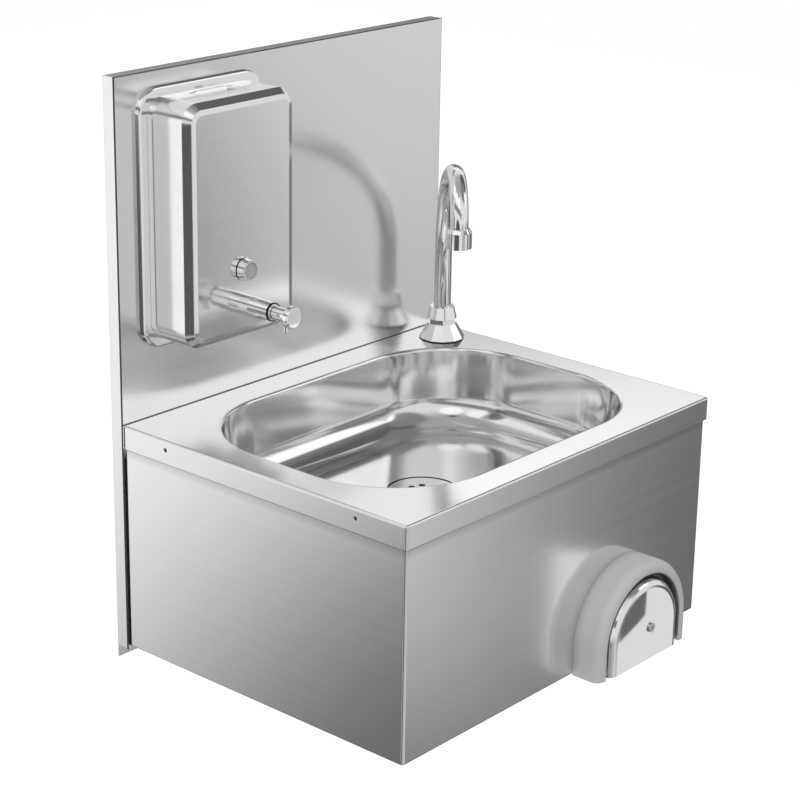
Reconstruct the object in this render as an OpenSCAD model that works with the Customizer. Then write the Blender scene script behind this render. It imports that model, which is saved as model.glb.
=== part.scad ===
// Wall-hung stainless steel hand wash sink with a knee valve, a swan-neck tap and a soap dispenser.
// The origin lies on the wall plane, mid-width, at the height of the worktop.
// +X is to the user's right, the front faces -Y and +Z is up. All lengths are in millimetres.

/* [Worktop] */
// Width of the worktop and the splashback
top_w = 400; // [390:1:440]
// Depth of the worktop from the splashback to its front edge
top_d = 313; // [300:1:340]
// Height of the turned-down rim
rim_h = 20.5; // [18:0.5:26]
// Thickness of the folded sheet
sheet = 1.2; // [1:0.1:1.4]

/* [Splashback] */
// Height of the splashback above the worktop
splash_h = 292; // [284:1:330]
// Distance from the wall to the front of the splashback
standoff = 14; // [13:0.5:20]

/* [Cabinet] */
// Height of the cabinet below the worktop
box_h = 201; // [198:1:230]
// How far the cabinet's walls stand behind the worktop's edges
box_inset = 2; // [1.7:0.1:3]

/* [Bowl] */
// Distance of the bowl's opening from the sides of the worktop
bowl_side = 29; // [28:1:40]
// Distance of the bowl's opening from the front of the worktop
bowl_front = 29.5; // [28:0.5:38]
// Distance of the bowl's opening from the splashback
bowl_rear = 33.5; // [33:0.5:44]
// Corner radius of the bowl's opening
bowl_r = 92; // [84:1:95]
// Depth of the bowl below the worktop
bowl_depth = 72; // [66:1:80]
// Radius between the bowl's walls and its floor
floor_r = 30; // [25:1:32]

/* [Waste] */
// Radius of the drain recess
recess_r = 32; // [31:0.5:36]
// Outside radius of the tailpiece
tail_r = 20; // [19:0.5:21]
// Height of the tailpiece's lower end below the worktop
tail_drop = 150; // [130:1:160]

/* [Tap] */
// Distance of the tap from the right edge of the worktop
tap_side = 31.5; // [30:0.5:36]
// Distance from the splashback to the tap's axis
tap_back = 34.5; // [31:0.5:37]
// Radius of the tap's flared foot
foot_r = 21.5; // [19:0.5:22]
// Outside radius of the spout's tube
spout_r = 8; // [7.6:0.1:8.8]
// Height at which the spout starts to bend
riser_h = 80; // [70:1:100]
// Radius of the spout's first bend
bend_out = 98.5; // [85:0.5:105]
// Radius of the bend down to the outlet
bend_in = 35.5; // [32:0.5:42]
// Angle of the spout from straight ahead, towards the left
spout_turn = 44.5; // [30:0.5:60]
// Length of the aerator sleeve
aerator_l = 17; // [16:0.5:24]

/* [Knee valve] */
// Distance of the knee plate's axis from the right edge of the worktop
knee_side = 117; // [110:1:130]
// Height of the knee plate's axis below the worktop
knee_drop = 177.5; // [172:0.5:180]
// Outer radius of the knee housing
housing_r = 64; // [63:1:68]
// Radius of the opening in the knee housing
housing_bore = 53; // [51:0.5:53]
// How far the knee housing stands out of the cabinet
housing_out = 27.5; // [26:0.5:30]
// Radius of the knee plate
plate_r = 49; // [45:0.5:49.5]
// How far the knee plate travels
knee_travel = 12; // [8:0.5:12]

/* [Soap dispenser] */
// Distance of the dispenser's middle from the left edge of the splashback
disp_side = 91; // [85:1:110]
// Height of the dispenser's centre above the worktop
disp_z = 170; // [160:1:173]
// Width of the dispenser's body
disp_w = 124; // [116:1:130]
// Height of the dispenser's body
disp_h = 204; // [190:1:208]
// Depth of the dispenser from the splashback to its front face
disp_d = 53; // [48:0.5:60]
// Corner radius of the dispenser's body
disp_r = 16; // [14:0.5:20]
// Width of the filler lid
lid_w = 46; // [40:1:60]
// How far the pump travels
pump_travel = 11; // [6:0.5:11]

/* [Hidden] */
$fn = 96;

// Overrun of every cut
over = 1;
// Radial clearance of a running fit
fit = 0.05;
// Radial clearance of a part that is only dropped in
loose = 0.2;
// Gap between a piece at rest and the seat that carries it
rest_gap = 0.3;

// Planes that other pieces are placed by
half_w = top_w / 2;
splash_y = -standoff;
front_y = splash_y - top_d;
panel_y = front_y + box_inset;

// Outside radii of the folds, and of the worktop's welded front corners
top_fold = 1.8;
cab_fold = 2.6;
top_corner = 2.4;

// Wall pan: inset behind the splashback's edge, welded lips, lower ends of flanges and rear plate
pan_inset = 0.6;
pan_lip = 8;
flange_below = 4;
plate_below = 14.5;
flange_drop = box_h + flange_below;
plate_drop = box_h + plate_below;
pan_w = top_w - 2 * pan_inset;

// Wall fixings: holes below, keyholes above, and the access holes in front of them
fix_inset = 30;
fix_low = 14;
fix_high = 66;
fix_r = 3.3;
key_r = 6;
key_l = 14;
access_r = 8;
fix_x = half_w - fix_inset;
fix_low_z = -box_h + fix_low;
fix_high_z = splash_h - fix_high;

// Service opening behind the cabinet, for the pipes out of the wall
service_w = 180;
service_h = 130;
service_gap = 5;
service_z = -box_h + service_gap;

// Returns folded on the cabinet's edges, and its clearance round the worktop's rear flange
top_return = 10;
low_return = 16;
notch_gap = 0.3;
box_top = sheet;
cab_half = half_w - box_inset;
cab_back = splash_y;

// Small holes in the worktop's rim
rim_hole_r = 1.7;
rim_hole_z = 8.5;
rim_hole_in = 51.5;

// Screws and nuts that hold the cabinet and the worktop to the splashback
screw_r = 2;
screw_head_r = 3.5;
screw_head_h = 2.4;
screw_hole_r = screw_r + loose;
nut_r = 4.04;
nut_h = 3;
nut_proud = 1;
screw_edge = 5;
cab_screw_x = cab_half - low_return + screw_edge;
cab_screw_drops = [60, 150];
top_screw_in = 80;
top_screw_x = half_w - top_screw_in;
top_screw_z = 12;

// Bowl: rolled edge, draft of the walls, drain recess and waste hole
bowl_lip = 2.5;
bowl_draft = 4;
recess_h = 3.5;
waste_r = 22;
bowl_w = top_w - 2 * bowl_side;
bowl_d = top_d - bowl_front - bowl_rear;
bowl_y = splash_y - bowl_rear - bowl_d / 2;
recess_z = -bowl_depth - recess_h;

// Waste: gaskets, strainer, cup of the tailpiece, cross bar and its screw
gasket_t = 1.5;
strainer_t = 1.5;
strainer_in = 1.5;
strainer_r = recess_r - strainer_in;
strainer_holes = 8;
strainer_hole_r = 3;
strainer_pitch_r = 13;
neck_l = 8;
neck_wall = 1.5;
washer_t = 2;
cup_wall = 4;
cup_h = 9;
tail_wall = 2;
bar_w = 8;
bar_h = 6;
bar_drop = 8;
strainer_screw_r = 3;
strainer_head_r = 5;
strainer_head_h = 1.5;
strainer_z = recess_z + gasket_t;
washer_z = recess_z - sheet - washer_t;
cup_z = washer_z - cup_h;
bar_z = cup_z - bar_drop - bar_h;

// Tap base: gasket, faceted skirt, waist with wrench flats, spigot inside the collar, shank below
tap_gasket_t = 1;
tap_gasket_in = 1;
skirt_h = 13.5;
skirt_top_r = 13.6;
skirt_sides = 12;
waist_r = 13.3;
waist_sides = 6;
facet_turn = 44;
waist_h = 5;
spigot_r = 10.5;
spigot_h = 5.5;
shank_r = 10;
shank_l = 45;
water_r = 5;
spout_sink = 10.5;
tap_x = half_w - tap_side;
tap_y = splash_y - tap_back;
skirt_z = tap_gasket_t;
waist_z = skirt_z + skirt_h;
collar_z = waist_z + waist_h;

// Tap collar
collar_h = 11;
collar_low_r = 13.7;
collar_top_r = 11.2;

// Washer and lock nut below the worktop
tap_washer_r = 16;
tap_washer_t = 1.5;
tap_nut_r = 17.3;
tap_nut_h = 6;

// Spout: wall, lower end, o-ring grooves
spout_wall = 1.4;
spout_low = collar_z - spout_sink;
oring_w = 1.8;
oring_deep = 0.8;
oring_z = [2, 6];
outlet_reach = bend_out + bend_in;
outlet_z = riser_h + bend_out - bend_in;

// Aerator: sleeve with a chamfered top, chamber, insert with its holes
aerator_r = 11.3;
aerator_gap = 2;
aerator_chamfer = 3;
aerator_chamfer_in = 2;
aerator_wall = 1.5;
aerator_chamber_share = 0.68;
insert_gap = 0.1;
insert_l = 9;
insert_up = 0.6;
insert_hole_r = 1.1;
insert_ring_r = 6;
insert_holes = 8;
sleeve_top = outlet_z - aerator_gap;
sleeve_low = sleeve_top - aerator_l;
chamber_h = aerator_l * aerator_chamber_share;
tube_end_in = 0.5;

// Supply tube from the valve's outlet to the tap's shank
supply_r = 5;
supply_wall = 1;
supply_bend = 25;
supply_nut_r = 10;
supply_nut_h = 10;
supply_in = 6;

// Knee housing: walls, front edge, bosses and screws, and the valve's axis off the arch's centre
housing_wall = 2.5;
housing_edge = 8;
housing_lip = 1.5;
housing_foot = 2;
boss_r = 3.4;
boss_pilot = 1.4;
boss_deep = 15;
boss_turns = [35, 90, 145];
housing_screw_r = 1.35;
housing_screw_l = 14;
housing_head_r = 3.5;
housing_head_h = 2;
valve_right = 6.5;
valve_up = 4;
knee_x = half_w - knee_side;
knee_z = -knee_drop;
valve_x = knee_x + valve_right;
valve_z = knee_z + valve_up;
leg = box_h + housing_foot - knee_drop;
boss_ring = (housing_r + housing_bore) / 2;

// Knee plate: how far it stands in front of the housing, skirt, hub and centre screw
plate_proud = 1.6;
plate_t = 1.5;
plate_edge = 8;
plate_skirt = 14;
hub_r = 8;
hub_l = 5;
plate_screw_r = 2.4;
plate_screw_l = 14;
plate_head_r = 4.2;
plate_head_h = 1.6;
plate_z = housing_out + plate_proud;

// Valve body, measured inwards from the cabinet's front face
nose_r = 12;
nose_l = 9;
valve_flange_r = 16;
valve_flange_t = 4;
valve_r = 15;
outlet_s = 21;
outlet_boss_r = 9;
outlet_boss_h = 28;
inlet_s = 55;
inlet_half = 26;
inlet_bar_r = 9;
inlet_bar_bore = 5;
inlet_boss_r = 11.5;
inlet_boss_up = 10;
inlet_boss_l = 12;
front_chamber_s = 12;
front_chamber_r = 11;
seat_s = 29;
seat_t = 4;
seat_bore = 6;
rear_chamber_r = 12;
cap_plug = 6;
cap_hex_r = 15;
cap_hex_h = 6;
panel_clear = 0.2;
valve_washer_t = 1.2;
valve_nut_r = 16.5;
valve_nut_h = 6;
seal_r = 6;
seal_w = 2;
seal_s = 4;

// Spindle, seat disc and return spring
spindle_r = 4;
stem_r = 3;
stem_s = 22;
piston_r = 8.5;
piston_t = 3;
disc_t = 2.5;
spindle_tail = 11;
seat_back = seat_s + seat_t;
disc_s = seat_back + rest_gap;
piston_s = disc_s + disc_t;
spring_room = 19.2;
valve_l = piston_s + piston_t + knee_travel + spring_room + cap_plug;
valve_wire = 0.7;
valve_coil_r = 8.6;
valve_curls = 9;

// Inlet tails with half-inch threads
inlet_spigot_r = 7.9;
inlet_spigot_l = 6;
inlet_hex_r = 13;
inlet_hex_l = 6;
inlet_thread_r = 10.3;
inlet_thread_l = 17;
inlet_bore = 6;

// Dispenser: rear flange, wall, two facets round the front face
disp_x = disp_side - half_w;
back_margin = 7.5;
back_d = 6;
back_round = 4;
back_r = disp_r + back_round;
back_edge = 2.5;
shell = 1;
facet_in = 5;
facet_out = 6;
roll_in = 4.2;
roll_out = 1;
face_start = disp_d - facet_out - roll_out;

// Studs of the rear flange, and the hanger they hang in
stud_x = 18;
stud_down = 51;
stud_y = disp_h / 2 - stud_down;
stud_r = 2.5;
stud_head_r = 4.5;
stud_head_t = 1.5;
hang_half = 28;
hang_h = 46;
hang_t = 1.2;
hang_up = 4.2;
hang_foot = 13;
hang_screw_x = 35;
hang_screw_y = 15;
hang_screw_head_h = 2;
hang_key_l = 10;
hang_screw_l = 7;

// Lid: clearance, hinge barrel, pin, ledge and lock
lid_gap = 0.4;
lid_d = 21.5;
lid_axis_d = 13.5;
barrel_r = 1.5;
barrel_half = 17;
lid_notch = 2.5;
lid_pin_r = 0.75;
ledge_in = 3;
ledge_t = 1;
ledge_wide = 2;
lock_x = 13;
lock_d = 25.5;
lock_r = 2.5;
lock_head_r = 3.4;
lock_head_t = 0.6;
cam_t = 1;
lock_l = shell + rest_gap + ledge_t + rest_gap + cam_t;
lock_slot_w = 0.8;
lock_slot_l = 4;
lock_slot_t = 0.4;
cam_l = 10;
cam_w = 3;
top_y = disp_h / 2;
barrel_y = top_y - barrel_r;

// Sight window
sight_up = 59;
sight_y = sight_up - disp_h / 2;
sight_hole = 8;
sight_r = 10;
sight_face_r = 9;
sight_base_t = 3.2;
sight_out = 6.8;
sight_gasket_t = 0.8;
sight_gasket_in = 0.5;
sight_neck_l = 6;
sight_bore = 5.5;
lens_r = 7;
lens_t = 1.6;
lens_in = 0.9;
sight_nut_r = 11;
sight_nut_h = 3.5;

// Pump, measured outwards from the splashback
pump_up = 29;
pump_y = pump_up - disp_h / 2;
pump_hole = 6.5;
sleeve_base_r = 8.6;
sleeve_mid_r = 8.9;
sleeve_end_r = 8;
sleeve_mid_share = 0.35;
sleeve_l = 32;
guide_r = 6.5;
neck_r = 5.7;
guide_step = 2;
piston_bore = 4;
feed_r = 1.5;
feed_back = 4;
pump_gasket_t = 1.2;
pump_gasket_r = 11;
pump_nut_r = 11;
pump_nut_h = 4.5;
pump_seal_t = 1.5;
guide_in = 8;
head_stop = 0.5;
end_gap = 1;
end_wall = 2;
rod_in = 4;
head_r = 9.5;
head_t = 6;
head_edge = 1.5;
nozzle_r = 2.5;
nozzle_bore = 1.5;
nozzle_drop = 14;
nozzle_back = 3.5;
rod_r = 2;
rod_bore = 0.9;
pump_piston_t = 4;
pump_piston_back = 10;
pump_wire = 0.45;
pump_coil_r = 4.85;
pump_curls = 6;
pump_neck_out = pump_travel + nozzle_back + nozzle_r + head_stop;
pump_neck_l = pump_piston_back + pump_travel + end_gap + end_wall;
sleeve_end = disp_d + sleeve_l;
head_z = sleeve_end + pump_seal_t + pump_neck_out;
guide_z = sleeve_end - guide_in;
step_z = disp_d + guide_step;
pump_piston_z = disp_d - pump_piston_back;

// Points of an arc
function arc(cx, cy, r, from, to, steps) =
  [for (i = [0 : steps]) let (a = from + (to - from) * i / steps) [cx + r * cos(a), cy + r * sin(a)]];

// A list of points in the opposite order
function back_to_front(points) = [for (i = [len(points) - 1 : -1 : 0]) points[i]];

// Turns a piece so that its local z points out to the user, and its local y up
module outward() {
  rotate([90, 0, 0]) children();
}

// Turns a piece so that its local z points to the wall, and its local y down
module inward() {
  rotate([-90, 0, 0]) children();
}

// A rectangle with round corners, centred
module round_rect(w, d, r) {
  square([w - 2 * r, d], center = true);
  square([w, d - 2 * r], center = true);
  for (x = [-1, 1], y = [-1, 1]) {
    translate([x * (w / 2 - r), y * (d / 2 - r)]) circle(r);
  }
}

// A rectangle from y = 0 on, with its two front corners round
module front_round(w, d, r) {
  translate([-w / 2, r]) square([w, d - r]);
  translate([r - w / 2, 0]) square([w - 2 * r, d]);
  for (x = [-1, 1]) {
    translate([x * (w / 2 - r), r]) circle(r);
  }
}

// A pressed form: the section, x outwards from the corner's centre, swept round a rectangle,
// and the flat middle between the heights low and high
module pressed(w, d, r, low, high) {
  for (mx = [0, 1], my = [0, 1]) {
    mirror([mx, 0, 0]) mirror([0, my, 0])
      translate([w / 2 - r, d / 2 - r, 0]) rotate_extrude(angle = 90) children();
  }
  for (m = [0, 1]) {
    mirror([m, 0, 0]) translate([w / 2 - r, d / 2 - r, 0])
      rotate([90, 0, 0]) linear_extrude(d - 2 * r) children();
    mirror([0, m, 0]) translate([r - w / 2, d / 2 - r, 0])
      rotate([90, 0, 90]) linear_extrude(w - 2 * r) children();
  }
  translate([r - w / 2, r - d / 2, low]) cube([w - 2 * r, d - 2 * r, high - low]);
}

// An arch: the section swept round the upper half circle and down two straight legs
module arch_form(leg_l) {
  rotate_extrude(angle = 180) children();
  for (m = [0, 1]) {
    mirror([m, 0, 0]) rotate([90, 0, 0]) linear_extrude(leg_l) children();
  }
}

// A ring from z = 0 up
module ring(r_out, r_in, h) {
  difference() {
    cylinder(r = r_out, h = h);
    translate([0, 0, -over]) cylinder(r = r_in, h = h + 2 * over);
  }
}

// A hexagon nut from z = 0 up
module hex_nut(r, bore, h) {
  difference() {
    cylinder(r = r, h = h, $fn = 6);
    translate([0, 0, -over]) cylinder(r = bore, h = h + 2 * over);
  }
}

// A pan-head screw: the head below z = 0, the shank above
module pan_screw(r, l, head_r, head_h) {
  cylinder(r = r, h = l);
  translate([0, 0, -head_h]) cylinder(r = head_r, h = head_h);
}

// A quarter bend of a bar, centred on the origin in the XZ plane, from the angle given
module quarter(bend, r, from) {
  rotate([90, 0, 0]) rotate([0, 0, from]) rotate_extrude(angle = 90) translate([bend, 0]) circle(r);
}

// One unbroken coil spring along z, between the heights low and high, outside to outside
coil_sides = 6;
coil_steps = 8;

function coil_z(i, n, low, high, wire) = low + wire + (high - low - 2 * wire) * i / n;

function coil_path(r, curls, low, high, wire) =
  let (n = curls * coil_steps)
  let (pitch_rise = (high - low - 2 * wire) / n)
  concat(
    [[r, -2 * wire, coil_z(0, n, low, high, wire)]],
    [for (i = [0 : n]) [r * cos(360 * i / coil_steps), r * sin(360 * i / coil_steps),
                        coil_z(i, n, low, high, wire)]],
    [[r, 2 * wire, coil_z(n, n, low, high, wire)]]
  );

function tangent(path, i) =
  let (a = path[max(i - 1, 0)], b = path[min(i + 1, len(path) - 1)]) (b - a) / norm(b - a);

function ring_points(path, i, wire) =
  let (t = tangent(path, i))
  let (side = cross(t, [0, 0, 1]) / norm(cross(t, [0, 0, 1])))
  let (up = cross(side, t))
  [for (k = [0 : coil_sides - 1]) let (a = 360 * k / coil_sides)
    path[i] + wire * (side * cos(a) + up * sin(a))];

// Least distance between the wire's surfaces of neighbouring curls
function coil_gap(path, wire) = min([
  for (i = [0 : len(path) - 1], j = [i + coil_steps / 2 : len(path) - 1])
    norm(path[i] - path[j]) - 2 * wire
]);

module coil(r, curls, low, high, wire, name) {
  path = coil_path(r, curls, low, high, wire);
  rings = len(path);
  points = [for (i = [0 : rings - 1]) each ring_points(path, i, wire)];
  sides = [
    for (i = [0 : rings - 2], k = [0 : coil_sides - 1])
      let (a = i * coil_sides + k, b = i * coil_sides + (k + 1) % coil_sides)
      each [[a, a + coil_sides, b], [b, a + coil_sides, b + coil_sides]]
  ];
  last = (rings - 1) * coil_sides;
  start_cap = [for (k = [1 : coil_sides - 2]) [0, k, k + 1]];
  end_cap = [for (k = [1 : coil_sides - 2]) [last, last + k + 1, last + k]];
  echo(str(name, " least gap between curls, mm: "), coil_gap(path, wire));
  polyhedron(points, concat(sides, start_cap, end_cap));
}

// Casing

module service_cut() {
  translate([-service_w / 2, splash_y - over, service_z]) cube([service_w, standoff + 2 * over, service_h]);
}

module keyhole() {
  hull() {
    cylinder(r = fix_r, h = sheet + 2 * over, $fn = 32);
    translate([0, -key_l, 0]) cylinder(r = fix_r, h = sheet + 2 * over, $fn = 32);
  }
}

module wall_pan() {
  color("darkgray") difference() {
    union() {
      translate([-pan_w / 2, -sheet, -plate_drop]) cube([pan_w, sheet, plate_drop + splash_h]);
      for (m = [0, 1]) {
        mirror([m, 0, 0]) {
          translate([pan_w / 2 - sheet, splash_y + sheet, -flange_drop])
            cube([sheet, standoff - sheet, flange_drop + splash_h]);
          translate([pan_w / 2 - pan_lip, splash_y + sheet, -flange_drop])
            cube([pan_lip, sheet, flange_drop + splash_h]);
        }
      }
      translate([-pan_w / 2, splash_y + sheet, splash_h - sheet]) cube([pan_w, standoff - sheet, sheet]);
    }
    service_cut();
    for (x = [-fix_x, fix_x]) {
      translate([x, over, fix_low_z]) outward() cylinder(r = fix_r, h = sheet + 2 * over);
      translate([x, over, fix_high_z]) outward() keyhole();
      translate([x, over, fix_high_z - key_l]) outward() cylinder(r = key_r, h = sheet + 2 * over);
    }
  }
}

// Places of the screws through the splashback, each as x and z
function cab_screw_places() = [for (x = [-cab_screw_x, cab_screw_x], drop = cab_screw_drops) [x, -drop]];
function top_screw_places() = [for (x = [-top_screw_x, 0, top_screw_x]) [x, -top_screw_z]];
function hang_screw_places() =
  [for (x = [-hang_screw_x, hang_screw_x], y = [-hang_screw_y, hang_screw_y])
    [disp_x + x, disp_z + stud_y + y]];

module splashback() {
  color("silver") difference() {
    translate([-half_w, splash_y, -flange_drop]) cube([top_w, sheet, flange_drop + splash_h]);
    service_cut();
    for (x = [-fix_x, fix_x]) {
      translate([x, splash_y + sheet + over, fix_low_z]) outward()
        cylinder(r = access_r, h = sheet + 2 * over);
    }
    for (p = concat(cab_screw_places(), top_screw_places(), hang_screw_places())) {
      translate([p[0], splash_y + sheet + over, p[1]]) outward()
        cylinder(r = screw_hole_r, h = sheet + 2 * over);
    }
  }
}

module rim_holes(wall_half) {
  for (y = [splash_y - rim_hole_in, front_y + rim_hole_in]) {
    translate([-wall_half - over, y, -rim_hole_z]) rotate([0, 90, 0])
      cylinder(r = rim_hole_r, h = 2 * wall_half + 2 * over);
  }
}

// The folded rim's section, its outer face at x = out
module rim_section(out) {
  outside = arc(out - top_fold, -top_fold, top_fold, 0, 90, 4);
  inside = arc(out - top_fold, -top_fold, top_fold - sheet, 90, 0, 4);
  polygon(concat(
    [[out, -rim_h]], outside, [[out - top_corner, 0], [out - top_corner, -sheet]], inside,
    [[out - sheet, -rim_h]]
  ));
}

module worktop() {
  color("gainsboro") difference() {
    union() {
      difference() {
        translate([0, front_y + top_d / 2 + top_corner, 0])
          pressed(top_w, top_d + 2 * top_corner, top_corner, -sheet, 0) rim_section(top_corner);
        translate([-half_w - over, splash_y - top_corner, -rim_h - over])
          cube([top_w + 2 * over, 3 * top_corner + over, rim_h + 2 * over]);
      }
      translate([-half_w, splash_y, 0]) rotate([90, 0, 90]) linear_extrude(top_w) rim_section(0);
    }
    translate([0, bowl_y, -sheet - over]) linear_extrude(sheet + 2 * over)
      round_rect(bowl_w + 2 * bowl_lip, bowl_d + 2 * bowl_lip, bowl_r + bowl_lip);
    translate([tap_x, tap_y, -sheet - over]) cylinder(r = shank_r + loose, h = sheet + 2 * over);
    rim_holes(half_w);
    for (p = top_screw_places()) {
      translate([p[0], splash_y + over, p[1]]) outward() cylinder(r = screw_hole_r, h = sheet + 2 * over);
    }
  }
}

function bowl_section(wall) = concat(
  arc(bowl_r + bowl_lip, -bowl_lip, bowl_lip - wall, 90, 180, 4),
  arc(bowl_r - bowl_draft - floor_r, floor_r - bowl_depth, floor_r + wall, 0, -90, 8),
  [[0, -bowl_depth - wall]]
);

module bowl() {
  color("lightgray") translate([0, bowl_y, 0]) difference() {
    union() {
      pressed(bowl_w, bowl_d, bowl_r, -bowl_depth - sheet, -bowl_depth)
        polygon(concat(bowl_section(0), back_to_front(bowl_section(sheet))));
      translate([0, 0, recess_z - sheet]) cylinder(r = recess_r + sheet, h = recess_h + sheet);
    }
    translate([0, 0, recess_z]) cylinder(r = recess_r, h = recess_h + over);
    translate([0, 0, recess_z - sheet - over]) cylinder(r = waste_r, h = sheet + 2 * over);
  }
}

// The cabinet in plan, front at y = 0: a strip of the width given along its front and its sides
module folded_plan(depth, strip) {
  inner_r = max(cab_fold - strip, 0);
  difference() {
    front_round(2 * cab_half, depth, cab_fold);
    translate([0, strip]) {
      if (inner_r > 0) {
        front_round(2 * (cab_half - strip), depth, inner_r);
      } else {
        translate([strip - cab_half, 0]) square([2 * (cab_half - strip), depth]);
      }
    }
  }
}

module cabinet() {
  side_d = cab_back - panel_y;
  side_h = box_h - box_top;
  color("silver") difference() {
    union() {
      translate([0, panel_y, -box_h]) linear_extrude(side_h) folded_plan(side_d, sheet);
      translate([0, panel_y, -box_h]) linear_extrude(sheet) folded_plan(side_d, low_return);
      translate([0, panel_y, -box_top - sheet]) linear_extrude(sheet) folded_plan(side_d, top_return);
      for (m = [0, 1]) {
        mirror([m, 0, 0]) translate([cab_half - low_return, cab_back - sheet, -box_h])
          cube([low_return, sheet, side_h]);
      }
    }
    translate([-half_w, cab_back - sheet - notch_gap, -rim_h - notch_gap])
      cube([top_w, sheet + notch_gap + over, rim_h + notch_gap]);
    rim_holes(half_w);
    for (p = cab_screw_places()) {
      translate([p[0], cab_back + over, p[1]]) outward() cylinder(r = screw_hole_r, h = sheet + 2 * over);
    }
    translate([valve_x, panel_y - over, valve_z]) inward()
      cylinder(r = nose_r + panel_clear, h = sheet + 2 * over);
    translate([knee_x, panel_y + sheet + over, knee_z]) outward()
      for (turn = boss_turns) {
        rotate([0, 0, turn]) translate([boss_ring, 0, 0])
          cylinder(r = housing_screw_r + loose, h = sheet + 2 * over);
      }
  }
}

module frame_screws() {
  reach = 2 * sheet + nut_h + nut_proud;
  color("gray") for (p = concat(cab_screw_places(), top_screw_places())) {
    translate([p[0], splash_y - sheet, p[1]]) inward() pan_screw(screw_r, reach, screw_head_r, screw_head_h);
  }
}

module frame_nuts() {
  color("gray") for (p = concat(cab_screw_places(), top_screw_places())) {
    translate([p[0], splash_y + sheet, p[1]]) inward() hex_nut(nut_r, screw_r + fit, nut_h);
  }
}

// Waste

module waste_gasket() {
  color("black") translate([0, bowl_y, recess_z]) ring(strainer_r, waste_r + loose, gasket_t);
}

module waste_strainer() {
  color("silver") translate([0, bowl_y, strainer_z]) difference() {
    union() {
      cylinder(r = strainer_r, h = strainer_t);
      translate([0, 0, -neck_l]) ring(waste_r - loose, waste_r - loose - neck_wall, neck_l);
    }
    for (i = [0 : strainer_holes - 1]) {
      rotate([0, 0, 360 * i / strainer_holes]) translate([strainer_pitch_r, 0, -over])
        cylinder(r = strainer_hole_r, h = strainer_t + 2 * over);
    }
    translate([0, 0, -over]) cylinder(r = strainer_screw_r + loose, h = strainer_t + 2 * over);
  }
}

module waste_washer() {
  color("black") translate([0, bowl_y, washer_z]) ring(strainer_r, waste_r + loose, washer_t);
}

module waste_tail() {
  cup_r = strainer_r;
  color("whitesmoke") translate([0, bowl_y, 0]) difference() {
    union() {
      translate([0, 0, cup_z]) cylinder(r = cup_r, h = cup_h);
      translate([0, 0, -tail_drop]) cylinder(r = tail_r, h = tail_drop + cup_z);
    }
    translate([0, 0, cup_z + cup_wall]) cylinder(r = waste_r + loose, h = cup_h);
    difference() {
      translate([0, 0, -tail_drop - over])
        cylinder(r = tail_r - tail_wall, h = tail_drop + cup_z + cup_wall + 2 * over);
      translate([-tail_r, -bar_w / 2, bar_z]) cube([2 * tail_r, bar_w, bar_h]);
    }
    translate([0, 0, bar_z - over]) cylinder(r = strainer_screw_r + fit, h = bar_h + 2 * over);
  }
}

module waste_screw() {
  top = strainer_z + strainer_t;
  color("silver") translate([0, bowl_y, top]) difference() {
    rotate([180, 0, 0]) pan_screw(strainer_screw_r, top - bar_z, strainer_head_r, strainer_head_h);
    translate([-strainer_head_r, -strainer_t / 4, strainer_head_h / 2])
      cube([2 * strainer_head_r, strainer_t / 2, strainer_head_h]);
  }
}

// Tap

module at_tap() {
  translate([tap_x, tap_y, 0]) children();
}

module tap_gasket() {
  color("black") at_tap() ring(foot_r - tap_gasket_in, shank_r + loose, tap_gasket_t);
}

module tap_base() {
  color("lightgray") at_tap() difference() {
    union() {
      rotate([0, 0, facet_turn]) {
        translate([0, 0, skirt_z])
          cylinder(r1 = foot_r, r2 = skirt_top_r, h = skirt_h, $fn = skirt_sides);
        translate([0, 0, waist_z]) cylinder(r = waist_r, h = waist_h, $fn = waist_sides);
      }
      translate([0, 0, collar_z]) cylinder(r = spigot_r, h = spigot_h);
      translate([0, 0, -shank_l]) cylinder(r = shank_r, h = shank_l + collar_z + spigot_h);
    }
    translate([0, 0, spout_low]) cylinder(r = spout_r + fit, h = collar_z + spigot_h);
    translate([0, 0, -shank_l + supply_in]) cylinder(r = water_r - supply_wall, h = shank_l + spout_low);
    translate([0, 0, -shank_l - over]) cylinder(r = supply_r + fit, h = supply_in + 2 * over);
  }
}

module tap_collar() {
  color("lightgray") at_tap() translate([0, 0, collar_z]) difference() {
    cylinder(r1 = collar_low_r, r2 = collar_top_r, h = collar_h);
    translate([0, 0, -over]) cylinder(r = spout_r + rest_gap, h = collar_h + 2 * over);
    translate([0, 0, -over]) cylinder(r = spigot_r + fit, h = spigot_h + rest_gap + over);
  }
}

module tap_washer() {
  color("gray") at_tap() translate([0, 0, -sheet - tap_washer_t])
    ring(tap_washer_r, shank_r + loose, tap_washer_t);
}

module tap_nut() {
  color("goldenrod") at_tap() translate([0, 0, -sheet - tap_washer_t - tap_nut_h])
    hex_nut(tap_nut_r, shank_r + fit, tap_nut_h);
}

// The spout's path as a solid bar of radius r, with its two ends run on by extra
module spout_bar(r, extra) {
  translate([0, 0, spout_low - extra]) cylinder(r = r, h = riser_h - spout_low + extra);
  translate([bend_out, 0, riser_h]) quarter(bend_out, r, 90);
  translate([bend_out, 0, outlet_z]) quarter(bend_in, r, 0);
  translate([outlet_reach, 0, sleeve_low + chamber_h + tube_end_in - extra])
    cylinder(r = r, h = outlet_z - sleeve_low - chamber_h - tube_end_in + extra);
}

module along_spout() {
  at_tap() rotate([0, 0, -90 - spout_turn]) children();
}

module spout() {
  color("lightgray") along_spout() difference() {
    spout_bar(spout_r, 0);
    spout_bar(spout_r - spout_wall, over);
    for (z = oring_z) {
      translate([0, 0, spout_low + z]) ring(spout_r + over, spout_r - oring_deep, oring_w);
    }
  }
}

module spout_orings() {
  color("black") at_tap() for (z = oring_z) {
    translate([0, 0, spout_low + z]) ring(spout_r, spout_r - oring_deep, oring_w);
  }
}

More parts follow.
